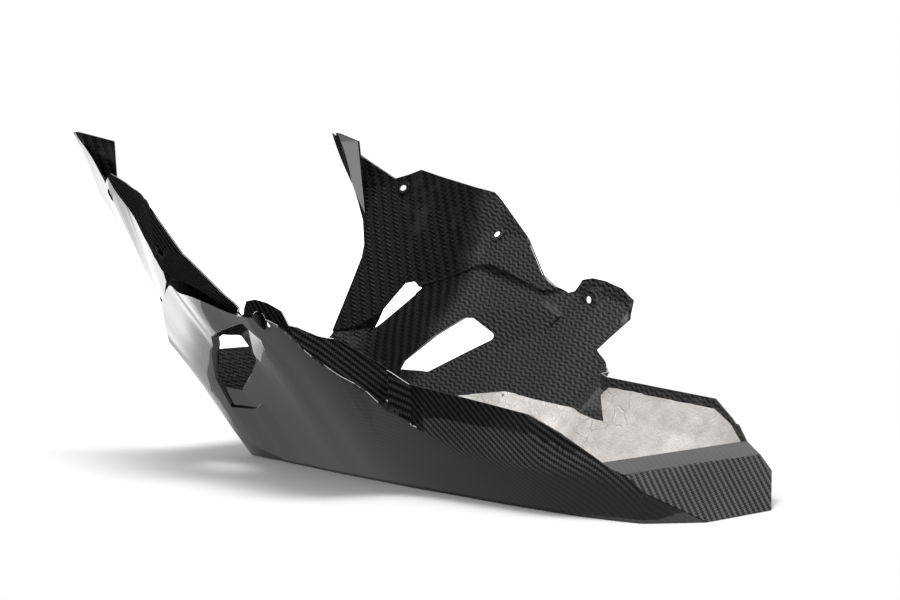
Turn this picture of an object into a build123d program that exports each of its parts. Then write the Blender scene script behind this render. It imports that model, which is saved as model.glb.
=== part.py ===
from build123d import *
from math import exp
import os

# Motorcycle belly pan: a one-piece moulded carbon shell with a heat-shield foil bonded to its floor.
# +X points to the front of the motorcycle, +Y to its left, +Z up, and the flat keel lies on z = 0.

# Wall of the shell, and the foil with its bond line
wall = 2.0
foil_thickness = 0.5
foil_bond = 0.1

# Lower hull, left half, from the tail forward. Each station gives its section as (half width, height):
# keel corner, two points up the panel, shoulder crease, band foot and a point above the trimmed edge.
# Under the wing the last three are the lower and upper border of the ledge and its root.
hull_stations = {
    -375: [(70, 0), (73, 9), (77, 18), (80, 28), (82, 42), (86, 100)],
    -300: [(84, 0), (84.3, 9), (84.6, 18), (85, 26), (86, 38), (92, 100)],
    -284: [(87, 0), (87.6, 11), (88.3, 22), (89, 33), (91, 44), (97, 100)],
    -256: [(91, 0), (95, 12), (98.8, 24), (102.5, 36.5), (105.3, 52), (114, 110)],
    -229: [(92, 0), (98.5, 12.7), (105, 25.3), (111.5, 38), (115.6, 64.5), (130, 120)],
    -185: [(92, 0), (99, 13.3), (106, 26.7), (113, 40), (117.2, 66.2), (132, 120)],
    -145: [(90, 0), (98.5, 15), (107, 30), (115.3, 45.5), (118.6, 67.8), (134, 120)],
    -118: [(88.5, 0), (98.5, 17.5), (108.5, 35), (118, 53), (120, 68.8), (136, 120)],
    -106: [(88, 0), (99, 19), (110, 38.5), (119.8, 57.5), (121.5, 69.2), (137, 120)],
    -96: [(87.5, 0), (101, 23), (114, 46), (127, 69), (132, 78), (146, 112)],
    -80: [(86, 0), (109, 31), (132, 62.5), (155.5, 93.7), (165, 107), (180, 127)],
    -70: [(85, 0), (119, 38), (154, 76), (188, 114.5), (195, 122), (206, 134)],
    -59: [(84.5, 0), (124.5, 42.7), (164, 85.5), (204, 128.2), (208, 133), (214, 140)],
    -34: [(83.5, 0), (124.3, 47.7), (165, 95.3), (206.5, 142), (207, 150), (208, 170)],
    -9: [(82, 0), (123, 52), (164, 104), (207, 147), (206.8, 160), (207.5, 180)],
    22: [(79.5, 0), (119, 48.7), (159, 97.3), (200, 146), (203, 152), (206, 175)],
    43: [(77.5, 0), (115, 49), (153, 98), (194, 147.4), (186, 151.5), (176, 156)],
    66: [(75, 0), (112.5, 50.8), (151, 101.7), (195, 152.5), (187, 158.5), (177, 164)],
    93: [(71.5, 0), (110, 53), (150, 106), (197, 159), (188.5, 166.5), (178, 172)],
    113: [(69.5, 0), (108, 54), (147.5, 108), (196, 161.5), (189.5, 172), (178, 178)],
    131: [(67, 0), (106, 55), (146, 110), (191, 166.5), (186, 172.5), (174, 178)],
    150: [(65, 0), (102.5, 53), (140.5, 106), (182, 160), (177, 165), (166, 170)],
    180: [(62, 0), (95, 49), (128, 98), (164, 148), (161, 152), (152, 158)],
}

# Bow: the chin rises from the keel to the front lip.
bow_stations = {
    180: hull_stations[180],
    205: [(74, 34), (96, 63), (119, 92), (143, 122), (141, 127), (134, 134)],
    218: [(79.5, 53), (95, 70), (111, 88), (127, 106), (125, 111), (120, 118)],
    230: [(85, 70), (94, 81), (103, 92), (112, 103.5), (110, 108), (106, 114)],
    252: [(90, 98), (92, 98.6), (94, 99.2), (96, 100), (95, 104), (92, 110)],
}

# The sections lean forwards at the keel where the hip swings out of the tail.
lean = 24.0
lean_x = -80.0
lean_reach = 40.0

# Wings: foot inside the hull, ledge, crease and a point above the trimmed edge.
wing_stations = {
    16: [(148, 98), (200, 147), (213, 185), (222, 320)],
    50: [(145, 98), (187, 147), (212, 190), (221, 320)],
    93: [(136, 98), (188.5, 162), (212, 197), (226, 320)],
    129: [(128, 98), (191, 173), (208, 200), (232, 320)],
    165: [(122, 98), (173, 155), (190, 208), (225, 320)],
    197: [(122, 98), (153, 150), (190, 239), (212, 320)],
    218: [(112, 98), (142, 150), (188, 245), (205, 320)],
    247.5: [(95, 98), (124, 150), (175, 245), (192, 320)],
    281: [(75, 98), (104, 150), (159, 243), (178, 320)],
    325: [(48, 98), (76, 150), (136, 243), (168, 320)],
}
steps_between = 3

# Side profile, as (x, z): the raked tail face and its lip, the top edge of the tail, shelf and tab,
# then the wing and its leading edge.
tail_run = [(-347, 0), (-302, 35.6), (-283, 44)]
top_run = [(-253.5, 66), (-229, 79), (-155, 87), (-98, 93), (-83, 104.5), (-75.5, 121), (-69, 132), (-56, 140.5),
           (-49, 146), (-40, 154), (-20, 160), (-4, 162), (8, 160), (15, 149)]
wing_run = [(22, 147), (50, 163), (87, 198), (125, 232.5), (135, 241), (218, 263), (232, 257.5),
            (243, 254), (320, 300.5)]
nose_run = [(320, 300.5), (281, 242), (260, 211), (250, 188), (247.5, 175)]
nose_x = nose_run[-1][0]
wing_foot = wing_stations[16][0][1]

# Plan outline of the left half, from the hip to the tail: the shelf and the band stand upright on it.
plan_run = [(-40, 250), (-55, 203), (-66, 190), (-79, 150), (-84, 132), (-100, 120.5), (-157, 118),
            (-229, 115.5), (-256, 105), (-283, 90), (-300, 84), (-316, 80), (-346, 41), (-352, 20)]

# Cut-out on the right side that clears the exhaust, as (x, z)
relief_run = [(-60, 131), (-42, 98), (-62, 84), (-103, 81), (-229, 73), (-262, 56), (-300, 56)]

# Vent in each lower panel, as (x, z): a pocket whose floor dives inwards towards the front, the opening cut
# through that floor, and the front wall of the pocket that is cut back to a short lip
pocket_mouth = [(118, 127), (79, 136), (31, 144), (12, 130), (36, 85), (118, 44), (172, 44), (168, 80), (144, 105)]
pocket_root = [(113, 112), (92, 115), (46, 120), (30, 112), (48, 85), (120, 54), (164, 50), (160, 76), (136, 100)]
pocket_mouth_y = 215.0
pocket_root_y = 80.0
pocket_floor = (93, 144, 124)
pocket_normal = (0.379, 0.842, -0.354)
window_run = [(107, 120), (93, 122), (65, 105), (128, 69), (158, 71), (133, 97)]
window_corner = 4.0
lip_run = [(121, 125), (93, 121), (128, 69.5), (175, 69.5), (172, 82), (147, 108)]
lip_depth = 6.0

# Slot at the front end of the ledge, as (x, z)
slot_run = [(199, 150), (191, 152), (183, 146), (219, 103)]
slot_y = 95.0

# Hem that is folded back inside the tip of each wing
hem_corners = [(322, 165, 303), (268, 152, 292), (257, 153.5, 204)]
hem_thickness = 2.0
hem_back = 215.0

# Fixing points on the outside of each wall as (x, z, mouth radius, floor radius, depth, axis): moulded dimples
# with a clearance hole. On the wing they sit square to the wall, at the tab they point straight out.
fixings = [(233, 243, 6.5, 4.8, 2.5, None), (124, 198, 6.5, 4.8, 2.5, None), (-9, 142, 9.0, 7.5, 6.0, (0, 1, 0))]
hole_radius = 3.2

# Area of the foil on the floor, as (x, z)
foil_run = [(80, -5), (80, 50), (29, 57), (-107, 42), (-92, 64), (-104, 72), (-229, 64), (-253, 55),
            (-281, 38), (-286, 30), (-286, -5)]

# Middle of the length, moved to x = 0 at the end
middle_x = (tail_run[0][0] + wing_run[-1][0]) / 2
far = 400.0


def shifted(points, distance):
    lines = []
    for (u0, v0), (u1, v1) in zip(points, points[1:]):
        run = ((u1 - u0) ** 2 + (v1 - v0) ** 2) ** 0.5
        side = (-(v1 - v0) / run * distance, (u1 - u0) / run * distance)
        lines.append(((u0 + side[0], v0 + side[1]), (u1 - u0, v1 - v0)))
    moved = [lines[0][0]]
    for (p, d), (q, e) in zip(lines, lines[1:]):
        cross = d[0] * e[1] - d[1] * e[0]
        reach = ((q[0] - p[0]) * e[1] - (q[1] - p[1]) * e[0]) / cross if abs(cross) > 1e-6 else 1.0
        moved.append((p[0] + d[0] * reach, p[1] + d[1] * reach))
    p, d = lines[-1]
    moved.append((p[0] + d[0], p[1] + d[1]))
    return moved


def faired(xs, values):
    # Slopes of a curve through the values that never overshoots them
    gaps = [b - a for a, b in zip(xs, xs[1:])]
    grades = [(b - a) / h for a, b, h in zip(values, values[1:], gaps)]
    slopes = [grades[0]]
    for h0, h1, g0, g1 in zip(gaps, gaps[1:], grades, grades[1:]):
        if g0 * g1 <= 0:
            slopes.append(0.0)
        else:
            w0, w1 = 2 * h1 + h0, h1 + 2 * h0
            slopes.append((w0 + w1) / (w0 / g0 + w1 / g1))
    slopes.append(grades[-1])
    return slopes


def between(stations):
    xs = list(stations)
    count = len(stations[xs[0]])
    dense = {}
    lines = [[[stations[x][k][c] for x in xs] for c in (0, 1)] for k in range(count)]
    slopes = [[faired(xs, lines[k][c]) for c in (0, 1)] for k in range(count)]
    for i, (a, b) in enumerate(zip(xs, xs[1:])):
        for step in range(steps_between):
            s = step / steps_between
            h = b - a
            weights = (2 * s**3 - 3 * s**2 + 1, h * (s**3 - 2 * s**2 + s), 3 * s**2 - 2 * s**3, h * (s**3 - s**2))
            points = []
            for k in range(count):
                pair = []
                for c in (0, 1):
                    v, m = lines[k][c], slopes[k][c]
                    parts = (v[i], m[i], v[i + 1], m[i + 1])
                    pair.append(sum(w * p for w, p in zip(weights, parts)))
                points.append(tuple(pair))
            dense[a + s * h] = points
    dense[xs[-1]] = stations[xs[-1]]
    return dense


def hull(stations, distance=0.0):
    sections = []
    for x, points in between(stations).items():
        half = points
        if distance:
            half = shifted(points, distance)
            (y0, z0), (y1, z1) = half[:2]
            floor = points[0][1] + distance
            half[0] = (y0 + (y1 - y0) * (floor - z0) / (z1 - z0), floor)
        swing = lean * exp(-(((x - lean_x) / lean_reach) ** 2))
        xs = [x + swing * max(0.0, 1 - k / 3) for k in range(len(half))]
        left = [(a, y, z) for a, (y, z) in zip(xs, half)]
        right = [(a, -y, z) for a, y, z in reversed(left)]
        sections.append(Wire.make_polygon([Vector(*p) for p in left + right], close=True))
    return Solid.make_loft(sections, ruled=True)


def across(points, y0=-far, y1=far):
    face = Face(Wire.make_polygon([Vector(x, y0, z) for x, z in points], close=True))
    return Solid.extrude(face, Vector(0, y1 - y0, 0))


def upright(points):
    loop = points + [(x, -y) for x, y in reversed(points)]
    face = Face(Wire.make_polygon([Vector(x, y, -far) for x, y in loop], close=True))
    return Solid.extrude(face, Vector(0, 0, 2 * far))


def ring(points, distance):
    return shifted([points[-1]] + points + [points[0]], -distance)[1:-1]


def pocket(distance):
    # Space of the left pocket, grown by the distance on its sides and floor
    wires = []
    for points, y in ((ring(pocket_mouth, distance), pocket_mouth_y), (ring(pocket_root, distance), pocket_root_y)):
        wires.append(Wire.make_polygon([Vector(x, y, z) for x, z in points], close=True))
    floor = Plane(origin=pocket_floor, z_dir=pocket_normal).offset(-distance)
    outboard = floor * Box(far, far, far, align=(Align.CENTER, Align.CENTER, Align.MIN))
    return Solid.make_loft(wires, ruled=True) & outboard


def lower_mass(distance):
    body = hull(hull_stations, distance) + hull(bow_stations, distance)
    plan = [(far, 250)] + (shifted(plan_run, distance) if distance else plan_run)
    if distance:
        tail = shifted(tail_run, -distance)
        profile = [(tail[0][0], -1)] + tail + [(tail[-1][0], far), (far, far), (far, -1)]
    else:
        profile = [(tail_run[0][0], -1)] + tail_run + top_run + [(22, 147), (50, 163), (87, 198)]
        profile += [(nose_x, 198), (nose_x, -1)]
    return body & upright(plan) & across(profile)


def wing_mass(distance):
    body = hull(wing_stations, distance)
    if distance:
        return body
    return body & across([(22, wing_foot)] + wing_run + nose_run[1:] + [(nose_x, wing_foot)])


def both_sides(solid):
    return [solid, solid.mirror(Plane.XZ)]


def rounded(points, radius, y0, y1):
    outline = Plane.XZ * make_face(Polyline(*points, close=True))
    outline = fillet(outline.vertices(), radius)
    return Pos(0, y1, 0) * extrude(outline, amount=y1 - y0)


outer_lower = lower_mass(0.0)
outer_wing = wing_mass(0.0)
outer = outer_lower + outer_wing
shell = outer - lower_mass(wall) - wing_mass(wall)

# Vents
pocket_space = pocket(0.0)
pocket_wall = (pocket(wall) & outer_lower) - pocket_space
opening = rounded(window_run, window_corner, 60, 215) + (across(lip_run, 60, 215) & hull(hull_stations, lip_depth))
added = both_sides(pocket_wall)
removed = both_sides(opening)

# Slots
removed += both_sides(across(slot_run, slot_y, 215))

# Hems inside the wing tips
hem_face = Face(Wire.make_polygon([Vector(*p) for p in hem_corners], close=True))
hem_limit = across(nose_run[:-1] + [(hem_back, nose_run[-2][1]), (hem_back, nose_run[0][1])])
hem = Solid.extrude(hem_face, hem_face.normal_at() * hem_thickness) & hull(wing_stations) & hem_limit
added += both_sides(hem)

# Fixing dimples with their holes
for x, z, mouth, floor, depth, axis in fixings:
    point, normal = outer.find_intersection_points(Axis((x, far, z), (0, -1, 0)))[0]
    seat = Plane(origin=point, z_dir=-Vector(axis or normal))
    inwards = (Align.CENTER, Align.CENTER, Align.MIN)
    flare = mouth + mouth * (mouth - floor) / depth
    start = seat.offset(-mouth)
    boss = start * Cone(flare + wall, floor + wall, mouth + depth + wall, align=inwards)
    dimple = start * Cone(flare, floor, mouth + depth, align=inwards)
    hole = seat * Cylinder(hole_radius, depth + 3 * wall, align=inwards)
    added += both_sides(boss & (outer_lower if axis else outer_wing))
    removed += both_sides(dimple + hole)

# Cut-out for the exhaust on the right
removed.append(across(relief_run + [(-300, far), (-60, far)], -far, 0))
shell = (shell - both_sides(pocket_space) + added) - removed

# Foil on the floor
foil = lower_mass(wall + foil_bond) - lower_mass(wall + foil_bond + foil_thickness)
foil = foil & across(foil_run)

os.makedirs("parts", exist_ok=True)
centred = Pos(-middle_x, 0, 0)
export_step(centred * shell, "parts/belly_pan_shell.step")
export_step(centred * foil, "parts/heat_shield_foil.step")
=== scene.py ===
import bpy
import bmesh
import numpy as np
from math import cos, hypot, radians, sin, tau
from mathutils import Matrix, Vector
from mathutils.bvhtree import BVHTree


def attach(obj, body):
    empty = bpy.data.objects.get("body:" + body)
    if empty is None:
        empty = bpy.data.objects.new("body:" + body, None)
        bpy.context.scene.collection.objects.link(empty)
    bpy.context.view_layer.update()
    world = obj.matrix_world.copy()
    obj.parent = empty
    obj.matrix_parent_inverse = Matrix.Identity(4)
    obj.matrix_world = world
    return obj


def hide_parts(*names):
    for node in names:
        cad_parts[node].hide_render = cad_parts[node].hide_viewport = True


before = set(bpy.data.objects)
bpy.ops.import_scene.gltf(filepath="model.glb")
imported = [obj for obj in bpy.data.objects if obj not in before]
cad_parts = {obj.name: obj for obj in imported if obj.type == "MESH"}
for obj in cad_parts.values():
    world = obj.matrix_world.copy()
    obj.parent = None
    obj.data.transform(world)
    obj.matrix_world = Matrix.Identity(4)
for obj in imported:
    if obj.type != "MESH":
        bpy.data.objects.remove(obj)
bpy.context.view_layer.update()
print("frame loaded:", ", ".join(sorted(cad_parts)))


# Node helpers
def put(tree, kind, **settings):
    node = tree.nodes.new(kind)
    for key, value in settings.items():
        setattr(node, key, value)
    return node


def plug(tree, socket, value):  # a number, a colour or another socket
    if hasattr(value, "node"):
        tree.links.new(value, socket)
    else:
        socket.default_value = value


def calc(tree, operation, *values):
    node = put(tree, "ShaderNodeMath", operation=operation)
    for socket, value in zip(node.inputs, values):
        plug(tree, socket, value)
    return node.outputs[0]


def product(tree, first, *others):
    for other in others:
        first = calc(tree, "MULTIPLY", first, other)
    return first


def scaled(tree, value, factor, offset):
    return calc(tree, "MULTIPLY_ADD", value, factor, offset)


def blendOf(tree, share, low, high, kind="FLOAT"):
    node = put(tree, "ShaderNodeMix", data_type=kind)
    if kind == "FLOAT":
        first, second, result = node.inputs[2], node.inputs[3], node.outputs[0]
    else:
        first, second, result = node.inputs[6], node.inputs[7], node.outputs[2]
    plug(tree, node.inputs[0], share)
    plug(tree, first, low)
    plug(tree, second, high)
    return result


def ramp(tree, value, low, high, fromLow=0.0, fromHigh=1.0):
    node = put(tree, "ShaderNodeMapRange", interpolation_type="SMOOTHSTEP")
    for socket, number in zip(node.inputs, (value, fromLow, fromHigh, low, high)):
        plug(tree, socket, number)
    return node.outputs[0]


def noise(tree, place, scale, detail=2.0, roughness=0.5, distortion=0.0):
    node = put(tree, "ShaderNodeTexNoise")
    names = ("Vector", "Scale", "Detail", "Roughness", "Distortion")
    for name, value in zip(names, (place, scale, detail, roughness, distortion)):
        plug(tree, node.inputs[name], value)
    return node.outputs["Fac"]


def splitOf(tree, vector):
    node = put(tree, "ShaderNodeSeparateXYZ")
    tree.links.new(vector, node.inputs[0])
    return node.outputs


def attributeOf(tree, name):
    return put(tree, "ShaderNodeAttribute", attribute_name=name).outputs["Fac"]


# 2/2 twill: every tow floats over two and under two, one step along in each row
twillLook = {"repeat": 4.0, "floatEnd": 1.5, "crownBase": 0.5, "fibresAcross": 6.0, "fibreLength": 0.35,
             "weftShine": 0.18, "warpShine": 0.55, "warpBase": 0.45, "streakBase": 0.5}


def crown(tree, t):  # a hump over 0 to 1
    return product(tree, t, calc(tree, "SUBTRACT", 1.0, t), 4.0)


def towTop(tree, across, along):
    return product(tree, crown(tree, across), scaled(tree, crown(tree, along), 0.5, twillLook["crownBase"]))


def fibreStreak(tree, across, along):  # single fibres run along each tow
    join = put(tree, "ShaderNodeCombineXYZ")
    plug(tree, join.inputs[0], product(tree, across, twillLook["fibresAcross"]))
    plug(tree, join.inputs[1], product(tree, along, twillLook["fibreLength"]))
    return noise(tree, join.outputs[0], 1.0, 1.0)


def twillGroup():
    group = bpy.data.node_groups.new("twillCloth", "ShaderNodeTree")
    group.interface.new_socket("Cloth", in_out="INPUT", socket_type="NodeSocketVector")
    group.interface.new_socket("Tow Width", in_out="INPUT", socket_type="NodeSocketFloat")
    for label in ("Relief", "Sheen"):
        group.interface.new_socket(label, in_out="OUTPUT", socket_type="NodeSocketFloat")
    start, end = put(group, "NodeGroupInput"), put(group, "NodeGroupOutput")
    cloth = splitOf(group, start.outputs["Cloth"])
    u, v = (calc(group, "DIVIDE", cloth[k], start.outputs["Tow Width"]) for k in (0, 1))
    fu, fv = calc(group, "FRACT", u), calc(group, "FRACT", v)
    cell = calc(group, "ADD", calc(group, "FLOOR", u), calc(group, "FLOOR", v))
    step = calc(group, "FLOORED_MODULO", cell, twillLook["repeat"])
    warp = calc(group, "LESS_THAN", step, twillLook["floatEnd"])
    warpAlong = product(group, calc(group, "ADD", step, fv), 0.5)
    weftAlong = product(group, calc(group, "ADD", calc(group, "SUBTRACT", step, 2.0), fu), 0.5)
    warpTop, weftTop = towTop(group, fu, warpAlong), towTop(group, fv, weftAlong)
    warpLit = scaled(group, warpTop, twillLook["warpShine"], twillLook["warpBase"])
    lit = blendOf(group, warp, product(group, weftTop, twillLook["weftShine"]), warpLit)
    streak = blendOf(group, warp, fibreStreak(group, v, u), fibreStreak(group, u, v))
    sheen = product(group, lit, scaled(group, streak, 1.0, twillLook["streakBase"]))
    group.links.new(blendOf(group, warp, weftTop, warpTop), end.inputs["Relief"])
    group.links.new(sheen, end.inputs["Sheen"])
    return group


twillCloth = twillGroup()


def newMaterial(name):
    material = bpy.data.materials.new(name)
    material.use_nodes = True
    tree = material.node_tree
    return material, tree, tree.nodes["Principled BSDF"]


def bump(tree, shader, height, distance):
    node = put(tree, "ShaderNodeBump")
    plug(tree, node.inputs["Distance"], distance)
    plug(tree, node.inputs["Height"], height)
    tree.links.new(node.outputs[0], shader.inputs["Normal"])


def woven(tree, uv, towWidth):
    node = put(tree, "ShaderNodeGroup", node_tree=twillCloth)
    plug(tree, node.inputs["Cloth"], uv)
    plug(tree, node.inputs["Tow Width"], towWidth)
    return node.outputs


# Outside: fine twill under a clear gloss coat
glossLook = {"tow": 0.0015, "plain": (0.012, 0.012, 0.0123, 1), "dark": (0.003, 0.003, 0.0031, 1),
             "light": (0.3, 0.3, 0.304, 1), "roughness": 0.3, "metallic": 0.9, "relief": 0.0002,
             "edgeTint": (0.45, 0.45, 0.45, 1), "coatRoughness": 0.02, "thinCoatOrShadeCut": 0.99,
             "cloudScale": 14.0, "cloudSpread": (0.85, 1.15), "cloudFrom": (0.3, 0.7)}


def glossMaterial():
    material, tree, shader = newMaterial("clearCoatedCarbon")
    place = put(tree, "ShaderNodeTexCoord").outputs["Object"]
    weave = woven(tree, put(tree, "ShaderNodeUVMap", uv_map="clothMap").outputs[0], glossLook["tow"])
    speckle = noise(tree, place, glossLook["cloudScale"], 3.0)
    cloud = ramp(tree, speckle, *glossLook["cloudSpread"], *glossLook["cloudFrom"])
    upper, show, shadeTone = (attributeOf(tree, name) for name in ("aboveLine", "weaveShow", "paintedShadeTone"))
    shine = product(tree, weave["Sheen"], cloud)
    tows = blendOf(tree, shine, glossLook["dark"], glossLook["light"], "RGBA")
    dressed = blendOf(tree, show, glossLook["plain"], tows, "RGBA")
    # painted shade: a darker base colour on the band and the upper flank
    plug(tree, shader.inputs["Base Color"], blendOf(tree, shadeTone, (0, 0, 0, 1), dressed, "RGBA"))
    # painted shade: above the style line the coat is all but taken off, so those surfaces show little
    # reflection
    plug(tree, shader.inputs["Coat Weight"], scaled(tree, upper, -glossLook["thinCoatOrShadeCut"], 1.0))
    shader.inputs["Metallic"].default_value = glossLook["metallic"]
    shader.inputs["Specular Tint"].default_value = glossLook["edgeTint"]  # dark tows stay dark at a slant
    shader.inputs["Roughness"].default_value = glossLook["roughness"]
    shader.inputs["Coat Roughness"].default_value = glossLook["coatRoughness"]
    bump(tree, shader, product(tree, weave["Relief"], show), glossLook["relief"])
    return material


# Inside: heavy cloth at the front, resin-rich fine cloth behind it, with the creases of the bagging film
rawLook = {"heavyTow": 0.0032, "fineTow": 0.0019, "dark": (0.0015, 0.0015, 0.0016, 1),
           "light": (0.075, 0.075, 0.076, 1), "heavyShine": 0.16, "fineShine": 0.3, "zigzagShine": 0.55,
           "overlap": 0.173, "overlapBlend": 0.012, "overlapWander": 0.03, "wanderScale": 30.0,
           "zigzagLength": 0.0092, "zigzagPitch": 0.0042, "zigzagSway": 0.9, "filmScale": 120.0,
           "filmDetail": 5.0, "filmRoughness": 0.62, "filmSwirl": 0.8, "filmHeight": 1.6,
           "puddleScale": 42.0, "puddleEdge": (0.5, 0.66), "puddleCoat": 0.6, "thinCoatOrShadeCut": 0.02,
           "roughness": 0.29, "roughSpread": 0.2, "coatRoughness": 0.12, "specular": 0.14, "relief": 0.0003}


def zigzagRows(tree, uv):  # the fine cloth is pressed into zigzag rows
    flat = splitOf(tree, uv)
    sway = calc(tree, "PINGPONG", calc(tree, "DIVIDE", flat[0], rawLook["zigzagLength"]), 0.5)
    straight = calc(tree, "DIVIDE", flat[1], rawLook["zigzagPitch"])
    row = calc(tree, "ADD", straight, product(tree, sway, rawLook["zigzagSway"]))
    return scaled(tree, calc(tree, "SINE", product(tree, row, tau)), 0.5, 0.5)


def rawMaterial():
    material, tree, shader = newMaterial("rawCarbon")
    uv = put(tree, "ShaderNodeUVMap", uv_map="clothMap").outputs[0]
    place = put(tree, "ShaderNodeTexCoord").outputs["Object"]
    wander = noise(tree, place, rawLook["wanderScale"])
    edge = scaled(tree, wander, rawLook["overlapWander"], splitOf(tree, place)[0])
    blend = (rawLook["overlap"] - rawLook["overlapBlend"], rawLook["overlap"] + rawLook["overlapBlend"])
    heavyShare = ramp(tree, edge, 0.0, 1.0, *blend)
    heavy, fine = woven(tree, uv, rawLook["heavyTow"]), woven(tree, uv, rawLook["fineTow"])
    zigzag = zigzagRows(tree, uv)
    heavySheen = product(tree, heavy["Sheen"], rawLook["heavyShine"])
    fineSheen = product(tree, fine["Sheen"], rawLook["fineShine"])
    fineSheen = scaled(tree, zigzag, rawLook["zigzagShine"], fineSheen)
    sheen = blendOf(tree, heavyShare, fineSheen, heavySheen)
    plug(tree, shader.inputs["Base Color"], blendOf(tree, sheen, rawLook["dark"], rawLook["light"], "RGBA"))
    filmKind = (rawLook["filmDetail"], rawLook["filmRoughness"], rawLook["filmSwirl"])
    film = noise(tree, place, rawLook["filmScale"], *filmKind)
    puddle = ramp(tree, noise(tree, place, rawLook["puddleScale"], 3.0), 0.0, 1.0, *rawLook["puddleEdge"])
    rough = scaled(tree, film, rawLook["roughSpread"], rawLook["roughness"])
    coat = scaled(tree, puddle, rawLook["puddleCoat"], rawLook["thinCoatOrShadeCut"])
    plug(tree, shader.inputs["Roughness"], rough)
    plug(tree, shader.inputs["Coat Weight"], coat)
    shader.inputs["Coat Roughness"].default_value = rawLook["coatRoughness"]
    shader.inputs["Specular IOR Level"].default_value = rawLook["specular"]
    weaveHeight = blendOf(tree, heavyShare, zigzag, heavy["Relief"])
    bump(tree, shader, scaled(tree, film, rawLook["filmHeight"], weaveHeight), rawLook["relief"])
    return material


# Foil: thin rolled aluminium, pressed down by hand
foilLook = {"node": "heat_shield_foil", "weld": 4e-6, "edge": 0.006, "sharpAngle": 40,
            "above": (-0.05, 0, 0.12), "facing": 0.3,  # the free side looks at this point
            "lift": 0.0009, "scale": 70.0, "seed": 3.0,
            "foldDetail": 3.0, "foldSwirl": 0.6, "foldWidth": 6.0,
            "pale": (0.9, 0.873, 0.84, 1), "dull": (0.62, 0.597, 0.57, 1), "dullScale": 24.0,
            "metallic": 0.3, "roughness": 0.32, "roughSpread": 0.25, "crushScale": 260.0, "crushSwirl": 1.2,
            "wrinkleScale": 58.0, "wrinkleWidth": 0.035, "wrinkleShade": 0.3, "wrinkleDepth": 0.5,
            "swirlScale": 40.0, "swirl": 0.02, "patchScale": 15.0, "patchEdge": (0.42, 0.58),
            "relief": 0.0012}


def wrinkles(tree, place):  # crooked lines, gathered in patches
    swirl = put(tree, "ShaderNodeTexNoise")
    plug(tree, swirl.inputs["Vector"], place)
    plug(tree, swirl.inputs["Scale"], foilLook["swirlScale"])
    shrink = put(tree, "ShaderNodeVectorMath", operation="SCALE")
    tree.links.new(swirl.outputs["Color"], shrink.inputs[0])
    shrink.inputs["Scale"].default_value = foilLook["swirl"]
    crooked = put(tree, "ShaderNodeVectorMath", operation="ADD")
    tree.links.new(place, crooked.inputs[0])
    tree.links.new(shrink.outputs[0], crooked.inputs[1])
    cells = put(tree, "ShaderNodeTexVoronoi", feature="DISTANCE_TO_EDGE")
    tree.links.new(crooked.outputs[0], cells.inputs["Vector"])
    plug(tree, cells.inputs["Scale"], foilLook["wrinkleScale"])
    line = ramp(tree, cells.outputs["Distance"], 1.0, 0.0, 0.0, foilLook["wrinkleWidth"])
    patch = ramp(tree, noise(tree, place, foilLook["patchScale"]), 0.15, 1.0, *foilLook["patchEdge"])
    return product(tree, line, patch)


def foilMaterial():
    material, tree, shader = newMaterial("crinkledFoil")
    place = put(tree, "ShaderNodeTexCoord").outputs["Object"]
    crush = noise(tree, place, foilLook["crushScale"], 4.0, 0.6, foilLook["crushSwirl"])
    line = wrinkles(tree, place)
    cloud = ramp(tree, noise(tree, place, foilLook["dullScale"], 4.0, 0.6), 0.0, 1.0, 0.3, 0.7)
    # the wrinkle lines are darker in colour: painted shade in the creases
    tone = calc(tree, "SUBTRACT", cloud, product(tree, line, foilLook["wrinkleShade"]))
    plug(tree, shader.inputs["Base Color"], blendOf(tree, tone, foilLook["dull"], foilLook["pale"], "RGBA"))
    rough = scaled(tree, crush, foilLook["roughSpread"], foilLook["roughness"])
    plug(tree, shader.inputs["Roughness"], rough)
    shader.inputs["Metallic"].default_value = foilLook["metallic"]
    height = calc(tree, "SUBTRACT", crush, product(tree, line, foilLook["wrinkleDepth"]))
    bump(tree, shader, height, foilLook["relief"])
    return material


clearCoatedCarbon = glossMaterial()
rawCarbon = rawMaterial()
crinkledFoil = foilMaterial()
print("materials made")

# Shell
shellLook = {"node": "belly_pan_shell", "weld": 4e-6, "flat": 0.4, "roundAngle": 24, "edgeRound": 0.0006,
             "edge": 0.009, "probe": 0.0012, "hemStart": 0.262, "hemFoot": 0.2,
             "hemNormal": (0.243, -0.969, -0.047), "hemMatch": 0.97, "openFacing": 0.2}
# the style line runs along the shoulder and under the upper flank of the wing, as (x, z)
styleLine = np.array([
    (-0.34, 0.024), (-0.2865, 0.026), (-0.2705, 0.033), (-0.2425, 0.0365), (-0.2155, 0.038),
    (-0.1715, 0.04), (-0.1315, 0.0455), (-0.1045, 0.053), (-0.0925, 0.0575), (-0.0825, 0.0655),
    (-0.0665, 0.0817), (-0.0565, 0.103), (-0.0455, 0.122), (-0.0205, 0.142), (0.0045, 0.149),
    (0.0508, 0.1503), (0.0754, 0.1548), (0.0989, 0.1597), (0.1208, 0.1655), (0.1443, 0.1739),
    (0.1744, 0.19), (0.1876, 0.2072), (0.2024, 0.2246), (0.2146, 0.2359), (0.2354, 0.2552), (0.26, 0.277)])
bandLine = np.array([(-0.2425, 0.052), (-0.2155, 0.0645), (-0.1045, 0.069), (-0.09, 0.0692)])
rimLine = np.array([(0.0355, 0.147), (0.0635, 0.163), (0.1005, 0.198), (0.1385, 0.2325)])


def heightOn(line, x):
    return float(np.interp(x, line[:, 0], line[:, 1]))


def sideOf(point):
    return 1 if point.y > 0 else -1


def onSide(direction, point):  # a direction of the left side, mirrored for a point on the right
    return Vector((direction[0], direction[1] * sideOf(point), direction[2]))


def smooth(share):
    share = min(1.0, max(0.0, share))
    return share * share * (3 - 2 * share)


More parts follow.
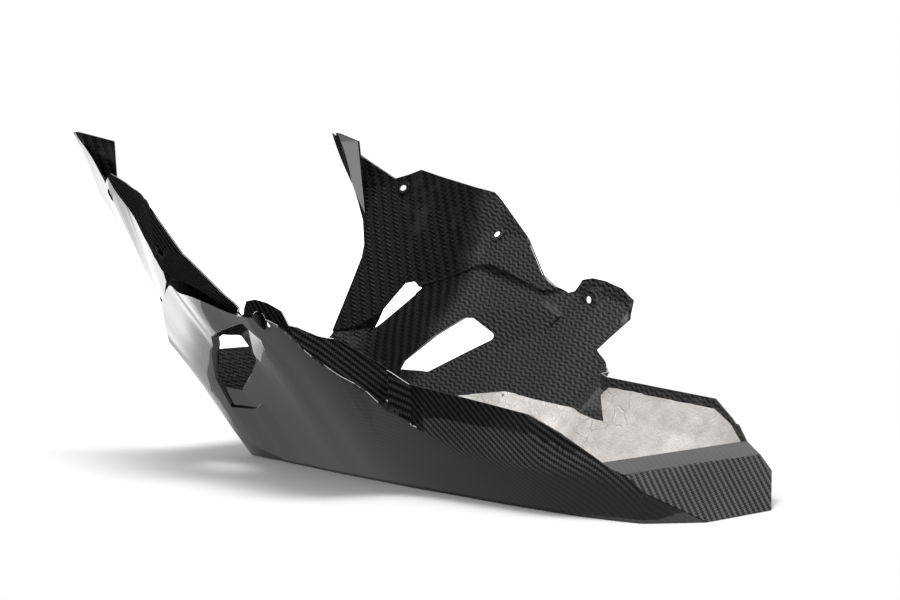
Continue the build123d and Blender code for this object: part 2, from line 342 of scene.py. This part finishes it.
def weldedCopy(nodeName, weld):
    bm = bmesh.new()
    bm.from_mesh(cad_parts[nodeName].data)
    bmesh.ops.remove_doubles(bm, verts=bm.verts, dist=weld)
    bmesh.ops.dissolve_degenerate(bm, edges=bm.edges, dist=weld)
    bm.normal_update()
    return bm


def roundEdges(bm):  # the moulded edges are broken by a small radius, which catches the light
    bmesh.ops.dissolve_limit(bm, angle_limit=radians(shellLook["flat"]), verts=bm.verts, edges=bm.edges)
    bm.normal_update()
    mark = bm.faces.layers.int.new("rounded")
    least = radians(shellLook["roundAngle"])
    sharp = [edge for edge in bm.edges if edge.is_manifold and edge.calc_face_angle(0) > least]
    made = bmesh.ops.bevel(bm, geom=sharp, offset=shellLook["edgeRound"], segments=2, profile=0.5,
                           affect="EDGES", clamp_overlap=False)
    for face in made["faces"]:
        face[mark] = 1
    bmesh.ops.triangulate(bm, faces=bm.faces)
    return mark


# Creases: where the faired normals break
creaseLook = {"cutFrom": 0.13, "cutMargin": 0.004, "onLine": 0.0004, "long": 7, "cross": 22,
              "lengthwise": 0.6, "panel": 28, "panelDrop": 0.006, "panelFacing": 0.2,
              "softBehind": -0.1, "softReach": 0.006, "softHalf": 0.08, "soft": 50,
              "roundMatch": 0.3, "rounds": 420}


def cutStyleLine(bm):  # an edge along the line where the upper flank of the wing begins
    margin = creaseLook["cutMargin"]
    for (x0, z0), (x1, z1) in zip(styleLine, styleLine[1:]):
        if x1 < creaseLook["cutFrom"]:
            continue
        parts = set()
        for face in bm.faces:
            places = [vert.co.x for vert in face.verts]
            isBeside = x0 - margin < face.calc_center_median().x < x1 + margin
            if isBeside or min(places) < x1 and max(places) > x0:
                parts.update([face, *face.verts, *face.edges])
        across = (z0 - z1, 0, x1 - x0)
        bmesh.ops.bisect_plane(bm, geom=list(parts), dist=1e-6, plane_co=(x0, 0, z0), plane_no=across)
    bmesh.ops.triangulate(bm, faces=[face for face in bm.faces if len(face.verts) > 3])


def splitLong(bm, longest):  # halves long edges, as often as it takes
    for turn in range(8):
        edges = [edge for edge in bm.edges if edge.calc_length() > longest]
        if not edges:
            break
        bmesh.ops.subdivide_edges(bm, edges=edges, cuts=1)
        bmesh.ops.triangulate(bm, faces=[face for face in bm.faces if len(face.verts) > 3])


# Vents: towards the keel the floor of each vent runs out into the panel
pocketLook = {"x": (0.03, 0.2), "panelZ": (0.02, 0.13), "facing": (0.13, 0.78, -0.61), "near": 0.985,
              "foot": 0.03, "skin": 0.0015, "deepest": 0.04, "low": 0.066, "high": 0.108, "kept": 0.05}


def panelRow(x, z):
    return [1, x, z, x * z, x * x, z * z]


def panelFit(bm):  # half the width of the lower panel as a smooth function of x and z
    rows, widths = [], []
    for face in bm.faces:
        middle = face.calc_center_median()
        if not pocketLook["x"][0] < middle.x < pocketLook["x"][1]:
            continue
        if not pocketLook["panelZ"][0] < middle.z < pocketLook["panelZ"][1]:
            continue
        if face.normal.dot(onSide(pocketLook["facing"], middle)) > pocketLook["near"]:
            rows.append(panelRow(middle.x, middle.z))
            widths.append(abs(middle.y))
    return np.linalg.lstsq(np.array(rows), np.array(widths), rcond=None)[0]


def shallowPockets(bm):
    panel = panelFit(bm)
    skin, kept = pocketLook["skin"], pocketLook["kept"]
    back, front = pocketLook["x"]
    for vert in bm.verts:
        x, y, z = vert.co
        if not (back < x < front and pocketLook["foot"] < z < pocketLook["high"]):
            continue
        depth = float(np.dot(panelRow(x, z), panel)) - abs(y)
        if skin < depth < pocketLook["deepest"]:
            rise = smooth((z - pocketLook["low"]) / (pocketLook["high"] - pocketLook["low"]))
            vert.co.y += sideOf(vert.co) * (depth - skin) * (1 - kept - (1 - kept) * rise)


def plainMesh(bm, name):  # without the layers that the frame's own mesh carries
    bm.verts.index_update()
    mesh = bpy.data.meshes.new(name)
    corners = [[vert.index for vert in face.verts] for face in bm.faces]
    mesh.from_pydata([vert.co for vert in bm.verts], [], corners)
    return mesh


def keptSharp(edge):
    first, second = edge.verts
    middle = (first.co + second.co) / 2
    angle = edge.calc_face_angle(0)
    line = heightOn(styleLine, middle.x)
    isShoulder = abs(middle.z - line) < creaseLook["softReach"] and abs(middle.y) > creaseLook["softHalf"]
    if middle.x < creaseLook["softBehind"] and isShoulder:
        return angle > radians(creaseLook["soft"])  # the shoulder rolls over softly towards the tail
    offLine = max(abs(vert.co.z - heightOn(styleLine, vert.co.x)) for vert in edge.verts)
    if first.co.x > creaseLook["cutFrom"] and offLine < creaseLook["onLine"]:
        return True
    outward = min(face.normal.y * sideOf(middle) for face in edge.link_faces)
    if middle.z < line - creaseLook["panelDrop"] and outward > creaseLook["panelFacing"]:
        return angle > radians(creaseLook["panel"])
    isLong = abs(first.co.x - second.co.x) > creaseLook["lengthwise"] * edge.calc_length()
    return angle > radians(creaseLook["long"] if isLong else creaseLook["cross"])


# Glints: the edges that look up to the overhead light
glintLook = {"normal": (-0.48, 0.52, 0.71),
             "shoulder": {"line": styleLine, "x": (-0.11, 0.012), "half": 0.1, "reach": 0.004},
             "wingRear": {"line": rimLine, "x": (0.04, 0.138), "half": 0.17, "reach": 0.0025}}


def alongGlint(point, look):
    start, end = look["x"]
    offLine = abs(point.z - heightOn(look["line"], point.x))
    return start < point.x < end and abs(point.y) > look["half"] and offLine < look["reach"]


def isGlint(point):
    return alongGlint(point, glintLook["shoulder"]) or alongGlint(point, glintLook["wingRear"])


def smoothPairs(bm, mark):  # neighbours that no crease parts
    pairs = []
    for edge in bm.edges:
        betweenPanels = len(edge.link_faces) == 2 and not any(face[mark] for face in edge.link_faces)
        if betweenPanels and not keptSharp(edge):
            pairs.append([face.index for face in edge.link_faces])
    return np.array(pairs)


def spreadNormals(plain, area, pairs):
    here, there = np.concatenate((pairs, pairs[:, ::-1])).T
    faired = plain.copy()
    for turn in range(creaseLook["rounds"]):
        spread = faired * area
        near = [np.bincount(here, spread[there, k], len(plain)) for k in range(3)]
        total = np.stack(near, axis=1) + spread
        faired = total / np.maximum(np.linalg.norm(total, axis=1, keepdims=True), 1e-12)
    return faired


def cornerFan(start, panels, joined):  # the faces round a corner that no crease cuts off
    fan, todo = {start}, [start]
    while todo:
        for index in joined.get(todo.pop(), ()):
            if index in panels and index not in fan:
                fan.add(index)
                todo.append(index)
    return list(fan)


def fairedNormals(bm, mark):  # normals that run smoothly along each panel and break at its creases
    bm.faces.index_update()
    plain = np.array([face.normal for face in bm.faces])
    area = np.array([face.calc_area() for face in bm.faces])[:, None]
    isRound = np.array([face[mark] for face in bm.faces])
    pairs = smoothPairs(bm, mark)
    faired = spreadNormals(plain, area, pairs)
    joined = {}
    for one, two in pairs.tolist():
        joined.setdefault(one, set()).add(two)
        joined.setdefault(two, set()).add(one)
    corners, glints = [], set()
    for face in bm.faces:
        for vert in face.verts:
            near = [other.index for other in vert.link_faces]
            panels = [index for index in near if not isRound[index]]
            if not isRound[face.index]:
                use = cornerFan(face.index, panels, joined)
            elif isGlint(vert.co):
                glints.add(len(corners))
                corners.append(onSide(glintLook["normal"], vert.co))
                continue
            else:
                own, least = faired[face.index], creaseLook["roundMatch"]
                use = [index for index in panels if faired[index].dot(own) > least]
                use = use or [index for index in near if isRound[index]]
            total = (faired[use] * area[use]).sum(axis=0)
            corners.append(total / max(np.linalg.norm(total), 1e-12))
    return faired, corners, glints


def outsideOf(tree, face):
    point = face.calc_center_median() + face.normal * shellLook["probe"]
    if point.x > shellLook["hemStart"] and point.z > shellLook["hemFoot"]:
        turned = face.normal.dot(onSide(shellLook["hemNormal"], point))
        if abs(turned) > shellLook["hemMatch"]:
            return turned > 0  # the folded hem shows its gloss side to the inside
    towards = onSide((0, 1, 0), point)
    hit, normal, index, distance = tree.ray_cast(point, towards)
    if hit is None or normal.dot(towards) > 0:
        return True
    isOpen = tree.ray_cast(point, face.normal)[0] is None
    return isOpen and face.normal.dot(towards) > shellLook["openFacing"]


# Cloth: how the weave lies on the shell
clothLook = {"outerWale": 38, "innerWale": 67, "keelHalf": 0.085, "frontal": 0.72, "level": 0.86,
             "tailX": -0.27, "tailEnd": -0.3335, "tailWale": 70, "tailScale": 1.45, "tailTurn": 0.3}


def onCloth(a, b, wale):  # turns the cloth until its wales run at that angle
    c, s = cos(radians(wale)), sin(radians(wale))
    half = 0.7071  # the tows cross the wales at 45 degrees
    return ((c + s) * a + (s - c) * b) * half, ((s - c) * a - (s + c) * b) * half


def clothPlace(point, normal, isOut):
    wale = clothLook["outerWale"] if isOut else clothLook["innerWale"]
    isRearward = abs(normal[0]) > clothLook["tailTurn"] and abs(normal[1]) < clothLook["tailTurn"]
    if point.x < clothLook["tailX"] and isRearward:
        along = hypot(point.x - clothLook["tailEnd"], point.z)
        a, b = onCloth(-point.y, along, clothLook["tailWale"])
        return a / clothLook["tailScale"], b / clothLook["tailScale"]
    if abs(normal[0]) > clothLook["frontal"]:
        return onCloth(point.y, point.z, wale)
    if abs(normal[2]) > clothLook["level"]:
        return onCloth(point.x, point.y, wale)
    return onCloth(point.x, hypot(abs(point.y) - clothLook["keelHalf"], point.z), wale)


# Zones of the outside, each with its share of the weave and its painted shade: the band and the upper flank
# get a darker base colour
zoneLook = {"lineBlend": 0.016, "ledge": (0.03, 0.18), "ledgeUp": 0.2, "bandFront": -0.088,
            "tailRearward": 0.5, "tailOutward": 0.3, "lipUp": 0.5, "lipOutward": 0.5,
            "plainShow": 0.05, "upperShow": 0.5, "ledgeShow": 0.1, "bandShade": 0.5, "upperShade": 0.4}
flankLook = {"x": (0.03, 0.262), "facing": 0.6, "dimples": [(0.2465, 0.243), (0.1375, 0.198)],
             "dimpleReach": 0.0075, "normal": (0, 0.99, 0.14), "turn": 0.92, "blend": 0.05}
hipLook = {"x": (-0.16, 0.035), "drop": 0.0015, "facing": 0.25, "up": 0.1,
           "front": (0.13, 0.78, -0.61), "rear": (0.0, 0.875, -0.48),
           "turnFrom": 0.03, "turnLength": 0.16, "frontBlend": 0.04, "rearBlend": 0.05}


def zonesOf(middle, normal, isOut):
    line = heightOn(styleLine, middle.x)
    outward = abs(normal[1])
    isRearward = normal[0] < -zoneLook["tailRearward"] and outward < zoneLook["tailOutward"]
    zones = {"tail": middle.x < clothLook["tailX"] and isRearward}
    isLip = normal[2] > zoneLook["lipUp"] and outward < zoneLook["lipOutward"]
    zones["plain"] = isLip or middle.x > shellLook["hemStart"]  # trimmed edges, the tail's lip and the hem
    ledgeRear, ledgeFront = zoneLook["ledge"]
    zones["ledge"] = ledgeRear < middle.x < ledgeFront and normal[2] > zoneLook["ledgeUp"]
    zones["band"] = middle.x < zoneLook["bandFront"] and middle.z > heightOn(bandLine, middle.x)
    fromDimple = min(hypot(middle.x - x, middle.z - z) for x, z in flankLook["dimples"])
    onFlank = flankLook["x"][0] < middle.x < flankLook["x"][1] and middle.z > line
    onFlank = onFlank and outward > flankLook["facing"] and fromDimple > flankLook["dimpleReach"]
    zones["flank"] = isOut and onFlank and not zones["ledge"]
    onHip = hipLook["x"][0] < middle.x < hipLook["x"][1] and middle.z < line - hipLook["drop"]
    zones["hip"] = isOut and onHip and outward > hipLook["facing"] and normal[2] < hipLook["up"]
    return zones


def aboveLine(point, middle):
    if middle.x > creaseLook["softBehind"]:
        return 1.0 if middle.z > heightOn(styleLine, middle.x) else 0.0
    return smooth((point.z - heightOn(styleLine, point.x)) / zoneLook["lineBlend"] + 0.5)


def upperShare(zones, point, middle, isOut):
    if zones["tail"] or zones["ledge"] and isOut:
        return 1.0
    return 0.0 if zones["plain"] else aboveLine(point, middle)


def weaveShow(zones, upper):
    if zones["tail"]:
        return 1.0
    if zones["ledge"]:
        return zoneLook["ledgeShow"]
    return zoneLook["plainShow"] + zoneLook["upperShow"] * upper


# painted shade: a darker base colour for the band and the upper flank above the style line
def paintedShadeTone(zones, upper, middle):
    if zones["plain"] or upper == 0:
        return 1.0
    if zones["band"]:
        return zoneLook["bandShade"]
    return zoneLook["upperShade"] if middle.x > creaseLook["softBehind"] else 1.0


def flankNormal(normal, middle):  # the upper flank of the wing stands steeper than the panel under it
    share = flankLook["turn"] * min(1.0, max(0.0, (middle.x - flankLook["x"][0]) / flankLook["blend"]))
    return Vector(normal).lerp(onSide(flankLook["normal"], middle), share).normalized()


def hipNormal(normal, point):  # the panel flows round the hip towards the tail
    turn = smooth((hipLook["turnFrom"] - point.x) / hipLook["turnLength"])
    goal = onSide(hipLook["front"], point).lerp(onSide(hipLook["rear"], point), turn)
    rear, front = hipLook["x"]
    share = smooth((front - point.x) / hipLook["frontBlend"])
    share *= smooth((point.x - rear) / hipLook["rearBlend"])
    return Vector(normal).lerp(goal, share).normalized()


def makeShell():
    bm = weldedCopy(shellLook["node"], shellLook["weld"])
    mark = roundEdges(bm)
    cutStyleLine(bm)
    splitLong(bm, shellLook["edge"])
    bm.normal_update()
    shallowPockets(bm)
    bm.normal_update()
    tree = BVHTree.FromBMesh(bm)
    outside = [outsideOf(tree, face) for face in bm.faces]
    faired, corners, glints = fairedNormals(bm, mark)
    mesh = plainMesh(bm, "panShell")
    bm.free()
    mesh.materials.append(clearCoatedCarbon)
    mesh.materials.append(rawCarbon)
    layer = mesh.uv_layers.new(name="clothMap")
    looks = {name: [0.0] * len(mesh.loops) for name in ("aboveLine", "weaveShow", "paintedShadeTone")}
    for polygon, isOut, normal in zip(mesh.polygons, outside, faired):
        middle = polygon.center
        zones = zonesOf(middle, normal, isOut)
        polygon.use_smooth = True
        polygon.material_index = 0 if isOut else 1
        for loop in polygon.loop_indices:
            point = mesh.vertices[mesh.loops[loop].vertex_index].co
            layer.data[loop].uv = clothPlace(point, normal, isOut)
            upper = 0.0 if loop in glints else upperShare(zones, point, middle, isOut)
            looks["aboveLine"][loop] = upper
            looks["weaveShow"][loop] = weaveShow(zones, upper)
            looks["paintedShadeTone"][loop] = paintedShadeTone(zones, upper, middle)
            if zones["hip"]:
                corners[loop] = hipNormal(corners[loop], point)
            if zones["flank"]:
                corners[loop] = flankNormal(corners[loop], middle)
    for name, values in looks.items():
        mesh.attributes.new(name, "FLOAT", "CORNER").data.foreach_set("value", values)
    mesh.normals_split_custom_set(corners)
    shell = bpy.data.objects.new("panShell", mesh)
    bpy.context.scene.collection.objects.link(shell)
    return shell


panShell = makeShell()
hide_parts(shellLook["node"])
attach(panShell, "root")
print("shell dressed:", len(panShell.data.polygons), "faces")


# Foil
def foldHeight(tree, start):  # ridges where a slow noise crosses its middle
    folds = put(tree, "ShaderNodeTexNoise", noise_dimensions="4D")
    plug(tree, folds.inputs["Vector"], put(tree, "GeometryNodeInputPosition").outputs[0])
    plug(tree, folds.inputs["W"], start.outputs["Seed"])
    plug(tree, folds.inputs["Scale"], start.outputs["Scale"])
    plug(tree, folds.inputs["Detail"], foilLook["foldDetail"])
    plug(tree, folds.inputs["Distortion"], foilLook["foldSwirl"])
    away = calc(tree, "ABSOLUTE", calc(tree, "SUBTRACT", folds.outputs["Fac"], 0.5))
    slope = calc(tree, "MINIMUM", product(tree, away, foilLook["foldWidth"]), 1.0)
    return product(tree, calc(tree, "SUBTRACT", 1.0, slope), start.outputs["Lift"])


def crinkleTree():
    tree = bpy.data.node_groups.new("foilCrinkle", "GeometryNodeTree")
    tree.interface.new_socket("Geometry", in_out="INPUT", socket_type="NodeSocketGeometry")
    for label in ("Lift", "Scale", "Seed"):
        socket = tree.interface.new_socket(label, in_out="INPUT", socket_type="NodeSocketFloat")
        socket.default_value = foilLook[label.lower()]
    tree.interface.new_socket("Geometry", in_out="OUTPUT", socket_type="NodeSocketGeometry")
    start, end = put(tree, "NodeGroupInput"), put(tree, "NodeGroupOutput")
    free = put(tree, "GeometryNodeInputNamedAttribute", data_type="FLOAT")
    free.inputs["Name"].default_value = "freeSide"
    push = put(tree, "ShaderNodeVectorMath", operation="SCALE")
    tree.links.new(put(tree, "GeometryNodeInputNormal").outputs[0], push.inputs[0])
    plug(tree, push.inputs["Scale"], product(tree, foldHeight(tree, start), free.outputs[0]))
    move = put(tree, "GeometryNodeSetPosition")
    tree.links.new(start.outputs["Geometry"], move.inputs["Geometry"])
    tree.links.new(push.outputs[0], move.inputs["Offset"])
    whole = put(tree, "GeometryNodeRealizeInstances")
    tree.links.new(move.outputs[0], whole.inputs[0])
    paint = put(tree, "GeometryNodeSetMaterial")
    paint.inputs["Material"].default_value = crinkledFoil
    tree.links.new(whole.outputs[0], paint.inputs["Geometry"])
    tree.links.new(paint.outputs[0], end.inputs[0])
    return tree


def isFree(vert):  # the side that isn't bonded to the shell
    way = Vector(foilLook["above"]) - vert.co
    return vert.normal.dot(way) > foilLook["facing"] * way.length * vert.normal.length


def makeFoil():
    bm = weldedCopy(foilLook["node"], foilLook["weld"])
    splitLong(bm, foilLook["edge"])
    bm.normal_update()
    free = [1.0 if isFree(vert) else 0.0 for vert in bm.verts]
    mesh = plainMesh(bm, "foilSheet")
    bm.free()
    mesh.attributes.new("freeSide", "FLOAT", "POINT").data.foreach_set("value", free)
    mesh.polygons.foreach_set("use_smooth", [True] * len(mesh.polygons))
    mesh.set_sharp_from_angle(angle=radians(foilLook["sharpAngle"]))
    sheet = bpy.data.objects.new("foilSheet", mesh)
    bpy.context.scene.collection.objects.link(sheet)
    modifier = sheet.modifiers.new("crinkle", "NODES")
    modifier.node_group = crinkleTree()
    for item in modifier.node_group.interface.items_tree:
        if item.in_out == "INPUT" and item.name in ("Lift", "Scale", "Seed"):
            modifier[item.identifier] = foilLook[item.name.lower()]
    bpy.context.view_layer.update()
    finished = bpy.data.meshes.new_from_object(sheet.evaluated_get(bpy.context.evaluated_depsgraph_get()))
    sheet.modifiers.clear()
    sheet.data = finished
    return sheet


foilSheet = makeFoil()
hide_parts(foilLook["node"])
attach(foilSheet, "root")
print("foil laid:", len(foilSheet.data.polygons), "faces")

# Studio
floorLook = {"tone": 0.84, "roughness": 0.9, "specular": 0.1, "reach": 7.0, "drop": 0.0004,
             "sweep": (0.3, 0.58), "glow": 3.4, "farGlow": 1.95, "glowFront": (0.35, 0.46),
             "glowSide": (0.16, 0.3), "glowClear": (0.04, 0.09), "glowFar": (0.6, 0.9),
             "glowSpread": 0.6, "spreadFrom": -0.72}
# black and grey cards that show in the gloss alone, lying on the floor or standing beside the part: painted
# reflections; those on the floor are painted shade in the floor's reflection
cardLook = {
    "lowFlag": {"tone": 0.01, "height": 0.003, "outline": [
        (0.3, 0.165), (1.2, 0.165), (1.6, 0.8), (2.6, 1.1), (2.6, 2.4), (0.05, 2.4), (0.05, 0.42)]},
    "tallFlag": {"tone": 0.01, "x": (1.05, 3.2), "y": 1.25, "top": 1.6},
    "tallCard": {"tone": 0.4, "x": (0.3, 1.05), "y": 1.25, "top": 1.6},
    "greyCard": {"tone": 0.4, "height": 0.0025, "outline": [
        (-0.7, 0.07), (0.34, 0.07), (0.38, 0.165), (0.3, 0.42), (0.05, 0.42), (0.05, 1.2), (-0.7, 1.2)]}}
roomLook = {"sky": 0.72, "ceiling": 0.03, "wallEnd": 0.585, "wallBlend": 0.06, "away": (0.72, -0.69),
            "awayBlend": (0.15, 0.5)}
lampLook = {
    "overheadBox": {"place": (-0.2, 0.3, 2.2), "aim": (0, 0, 0.1), "size": (1.2, 0.8), "power": 34.0},
    "backBox": {"place": (0.23, -1.6, 2.06), "aim": (0, 0, 0.1), "size": (0.8, 0.4), "power": 9.0},
    "fillBox": {"place": (0.9, 2.2, 1.2), "aim": (0.2, 0, 0), "size": (2.0, 1.2), "power": 12.0}}
cameraLook = {"place": (-1.3986, 1.3428, 0.2906), "turn": 44, "dip": 4.096, "lens": 88.0, "sensor": 36.0,
              "reach": 50.0}


def plate(name, corners, material):
    mesh = bpy.data.meshes.new(name)
    mesh.from_pydata(corners, [], [range(len(corners))])
    mesh.materials.append(material)
    board = bpy.data.objects.new(name, mesh)
    bpy.context.scene.collection.objects.link(board)
    return board


def glowArea(tree, x, y):  # a painted pool of light: a stretch of floor ahead of the part that glows brighter than white
    spread = scaled(tree, x, floorLook["glowSpread"], floorLook["spreadFrom"])
    fromFlag = calc(tree, "SUBTRACT", y, calc(tree, "MAXIMUM", spread, 0.0))
    front = ramp(tree, x, 0.0, 1.0, *floorLook["glowFront"])
    beside = ramp(tree, fromFlag, 1.0, 0.0, *floorLook["glowSide"])
    clear = ramp(tree, y, 0.0, 1.0, *floorLook["glowClear"])
    clear = calc(tree, "MAXIMUM", clear, ramp(tree, x, 0.0, 1.0, *floorLook["glowFar"]))
    return product(tree, front, beside, clear)


def whiteFloor():
    material, tree, shader = newMaterial("whiteSweep")
    tone = floorLook["tone"]
    shader.inputs["Base Color"].default_value = (tone, tone, tone, 1)
    shader.inputs["Roughness"].default_value = floorLook["roughness"]
    shader.inputs["Specular IOR Level"].default_value = floorLook["specular"]
    x, y = splitOf(tree, put(tree, "ShaderNodeTexCoord").outputs["Object"])[:2]
    away = calc(tree, "SQRT", scaled(tree, x, x, product(tree, y, y)))
    area = glowArea(tree, x, y)
    share = calc(tree, "MAXIMUM", ramp(tree, away, 0.0, 1.0, *floorLook["sweep"]), area)
    fading = ramp(tree, x, floorLook["glow"] - 1, floorLook["farGlow"] - 1, *floorLook["glowFar"])
    # painted light: the floor glows there, for the camera and in reflections
    glow = put(tree, "ShaderNodeEmission")
    plug(tree, glow.inputs["Strength"], scaled(tree, area, fading, 1.0))
    path = put(tree, "ShaderNodeLightPath").outputs
    seen = calc(tree, "MAXIMUM", path["Is Camera Ray"], path["Is Glossy Ray"])
    mix = put(tree, "ShaderNodeMixShader")
    plug(tree, mix.inputs[0], product(tree, share, seen))
    tree.links.new(shader.outputs[0], mix.inputs[1])
    tree.links.new(glow.outputs[0], mix.inputs[2])
    tree.links.new(mix.outputs[0], tree.nodes["Material Output"].inputs[0])
    far = floorLook["reach"]
    square = ((-far, -far), (far, -far), (far, far), (-far, far))
    plate("studioFloor", [(x, y, -floorLook["drop"]) for x, y in square], material)


def cardCorners(look):
    if "outline" in look:
        return [(x, y, look["height"]) for x, y in look["outline"]]
    (rear, front), y, top = look["x"], look["y"], look["top"]
    return [(rear, y, 0), (front, y, 0), (front, y, top), (rear, y, top)]


def card(name):
    look = cardLook[name]
    material, tree = newMaterial(name + "PaintedReflection")[:2]
    # a painted reflection: the card glows faintly and only the gloss sees it
    glow = put(tree, "ShaderNodeEmission")
    glow.inputs["Strength"].default_value = look["tone"]
    tree.links.new(glow.outputs[0], tree.nodes["Material Output"].inputs[0])
    board = plate(name, cardCorners(look), material)
    board.visible_camera = False
    board.visible_shadow = False
    board.visible_diffuse = False


def studioWorld():
    world = bpy.data.worlds.new("studioWorld")
    world.use_nodes = True
    tree = world.node_tree
    tree.nodes.clear()
    x, y, z = splitOf(tree, put(tree, "ShaderNodeTexCoord").outputs["Generated"])
    wallEnd, ceiling = roomLook["wallEnd"], roomLook["ceiling"]
    wall = ramp(tree, z, 1.0, ceiling, wallEnd, wallEnd + roomLook["wallBlend"])
    awayX, awayY = roomLook["away"]
    away = scaled(tree, x, awayX, product(tree, y, awayY))
    cameraSide = ramp(tree, away, ceiling, 1.0, *roomLook["awayBlend"])  # dark behind the camera
    wall = product(tree, wall, cameraSide)
    shown = put(tree, "ShaderNodeBackground")
    tree.links.new(wall, shown.inputs["Color"])
    light = put(tree, "ShaderNodeBackground")
    light.inputs["Color"].default_value = (1, 1, 1, 1)
    light.inputs["Strength"].default_value = roomLook["sky"]
    path = put(tree, "ShaderNodeLightPath").outputs
    mirrored = calc(tree, "MAXIMUM", path["Is Glossy Ray"], path["Is Transmission Ray"])
    mix = put(tree, "ShaderNodeMixShader")
    tree.links.new(calc(tree, "MAXIMUM", path["Is Camera Ray"], mirrored), mix.inputs[0])
    tree.links.new(light.outputs[0], mix.inputs[1])
    tree.links.new(shown.outputs[0], mix.inputs[2])
    tree.links.new(mix.outputs[0], put(tree, "ShaderNodeOutputWorld").inputs[0])
    bpy.context.scene.world = world


def aimed(holder, place, direction):
    holder.location = place
    holder.rotation_euler = direction.to_track_quat("-Z", "Y").to_euler()
    bpy.context.scene.collection.objects.link(holder)


def softbox(name):
    look = lampLook[name]
    lamp = bpy.data.lights.new(name, "AREA")
    lamp.shape = "RECTANGLE"
    lamp.size, lamp.size_y = look["size"]
    lamp.energy = look["power"]
    holder = bpy.data.objects.new(name, lamp)
    aimed(holder, look["place"], Vector(look["aim"]) - Vector(look["place"]))
    holder.visible_camera = False
    return holder


def photoCamera():
    camera = bpy.data.cameras.new("photoCamera")
    camera.lens = cameraLook["lens"]
    camera.sensor_width = cameraLook["sensor"]
    camera.clip_end = cameraLook["reach"]
    holder = bpy.data.objects.new("photoCamera", camera)
    turn, dip = radians(cameraLook["turn"]), radians(cameraLook["dip"])
    aimed(holder, cameraLook["place"], Vector((cos(turn) * cos(dip), -sin(turn) * cos(dip), -sin(dip))))
    bpy.context.scene.camera = holder


whiteFloor()
for cardName in cardLook:
    card(cardName)
studioWorld()
softbox("overheadBox")
softbox("backBox").visible_diffuse = False  # draws the highlights alone
softbox("fillBox").visible_glossy = False  # lifts the shade without a highlight
photoCamera()
bpy.context.scene.view_settings.view_transform = "Standard"
print("studio set")
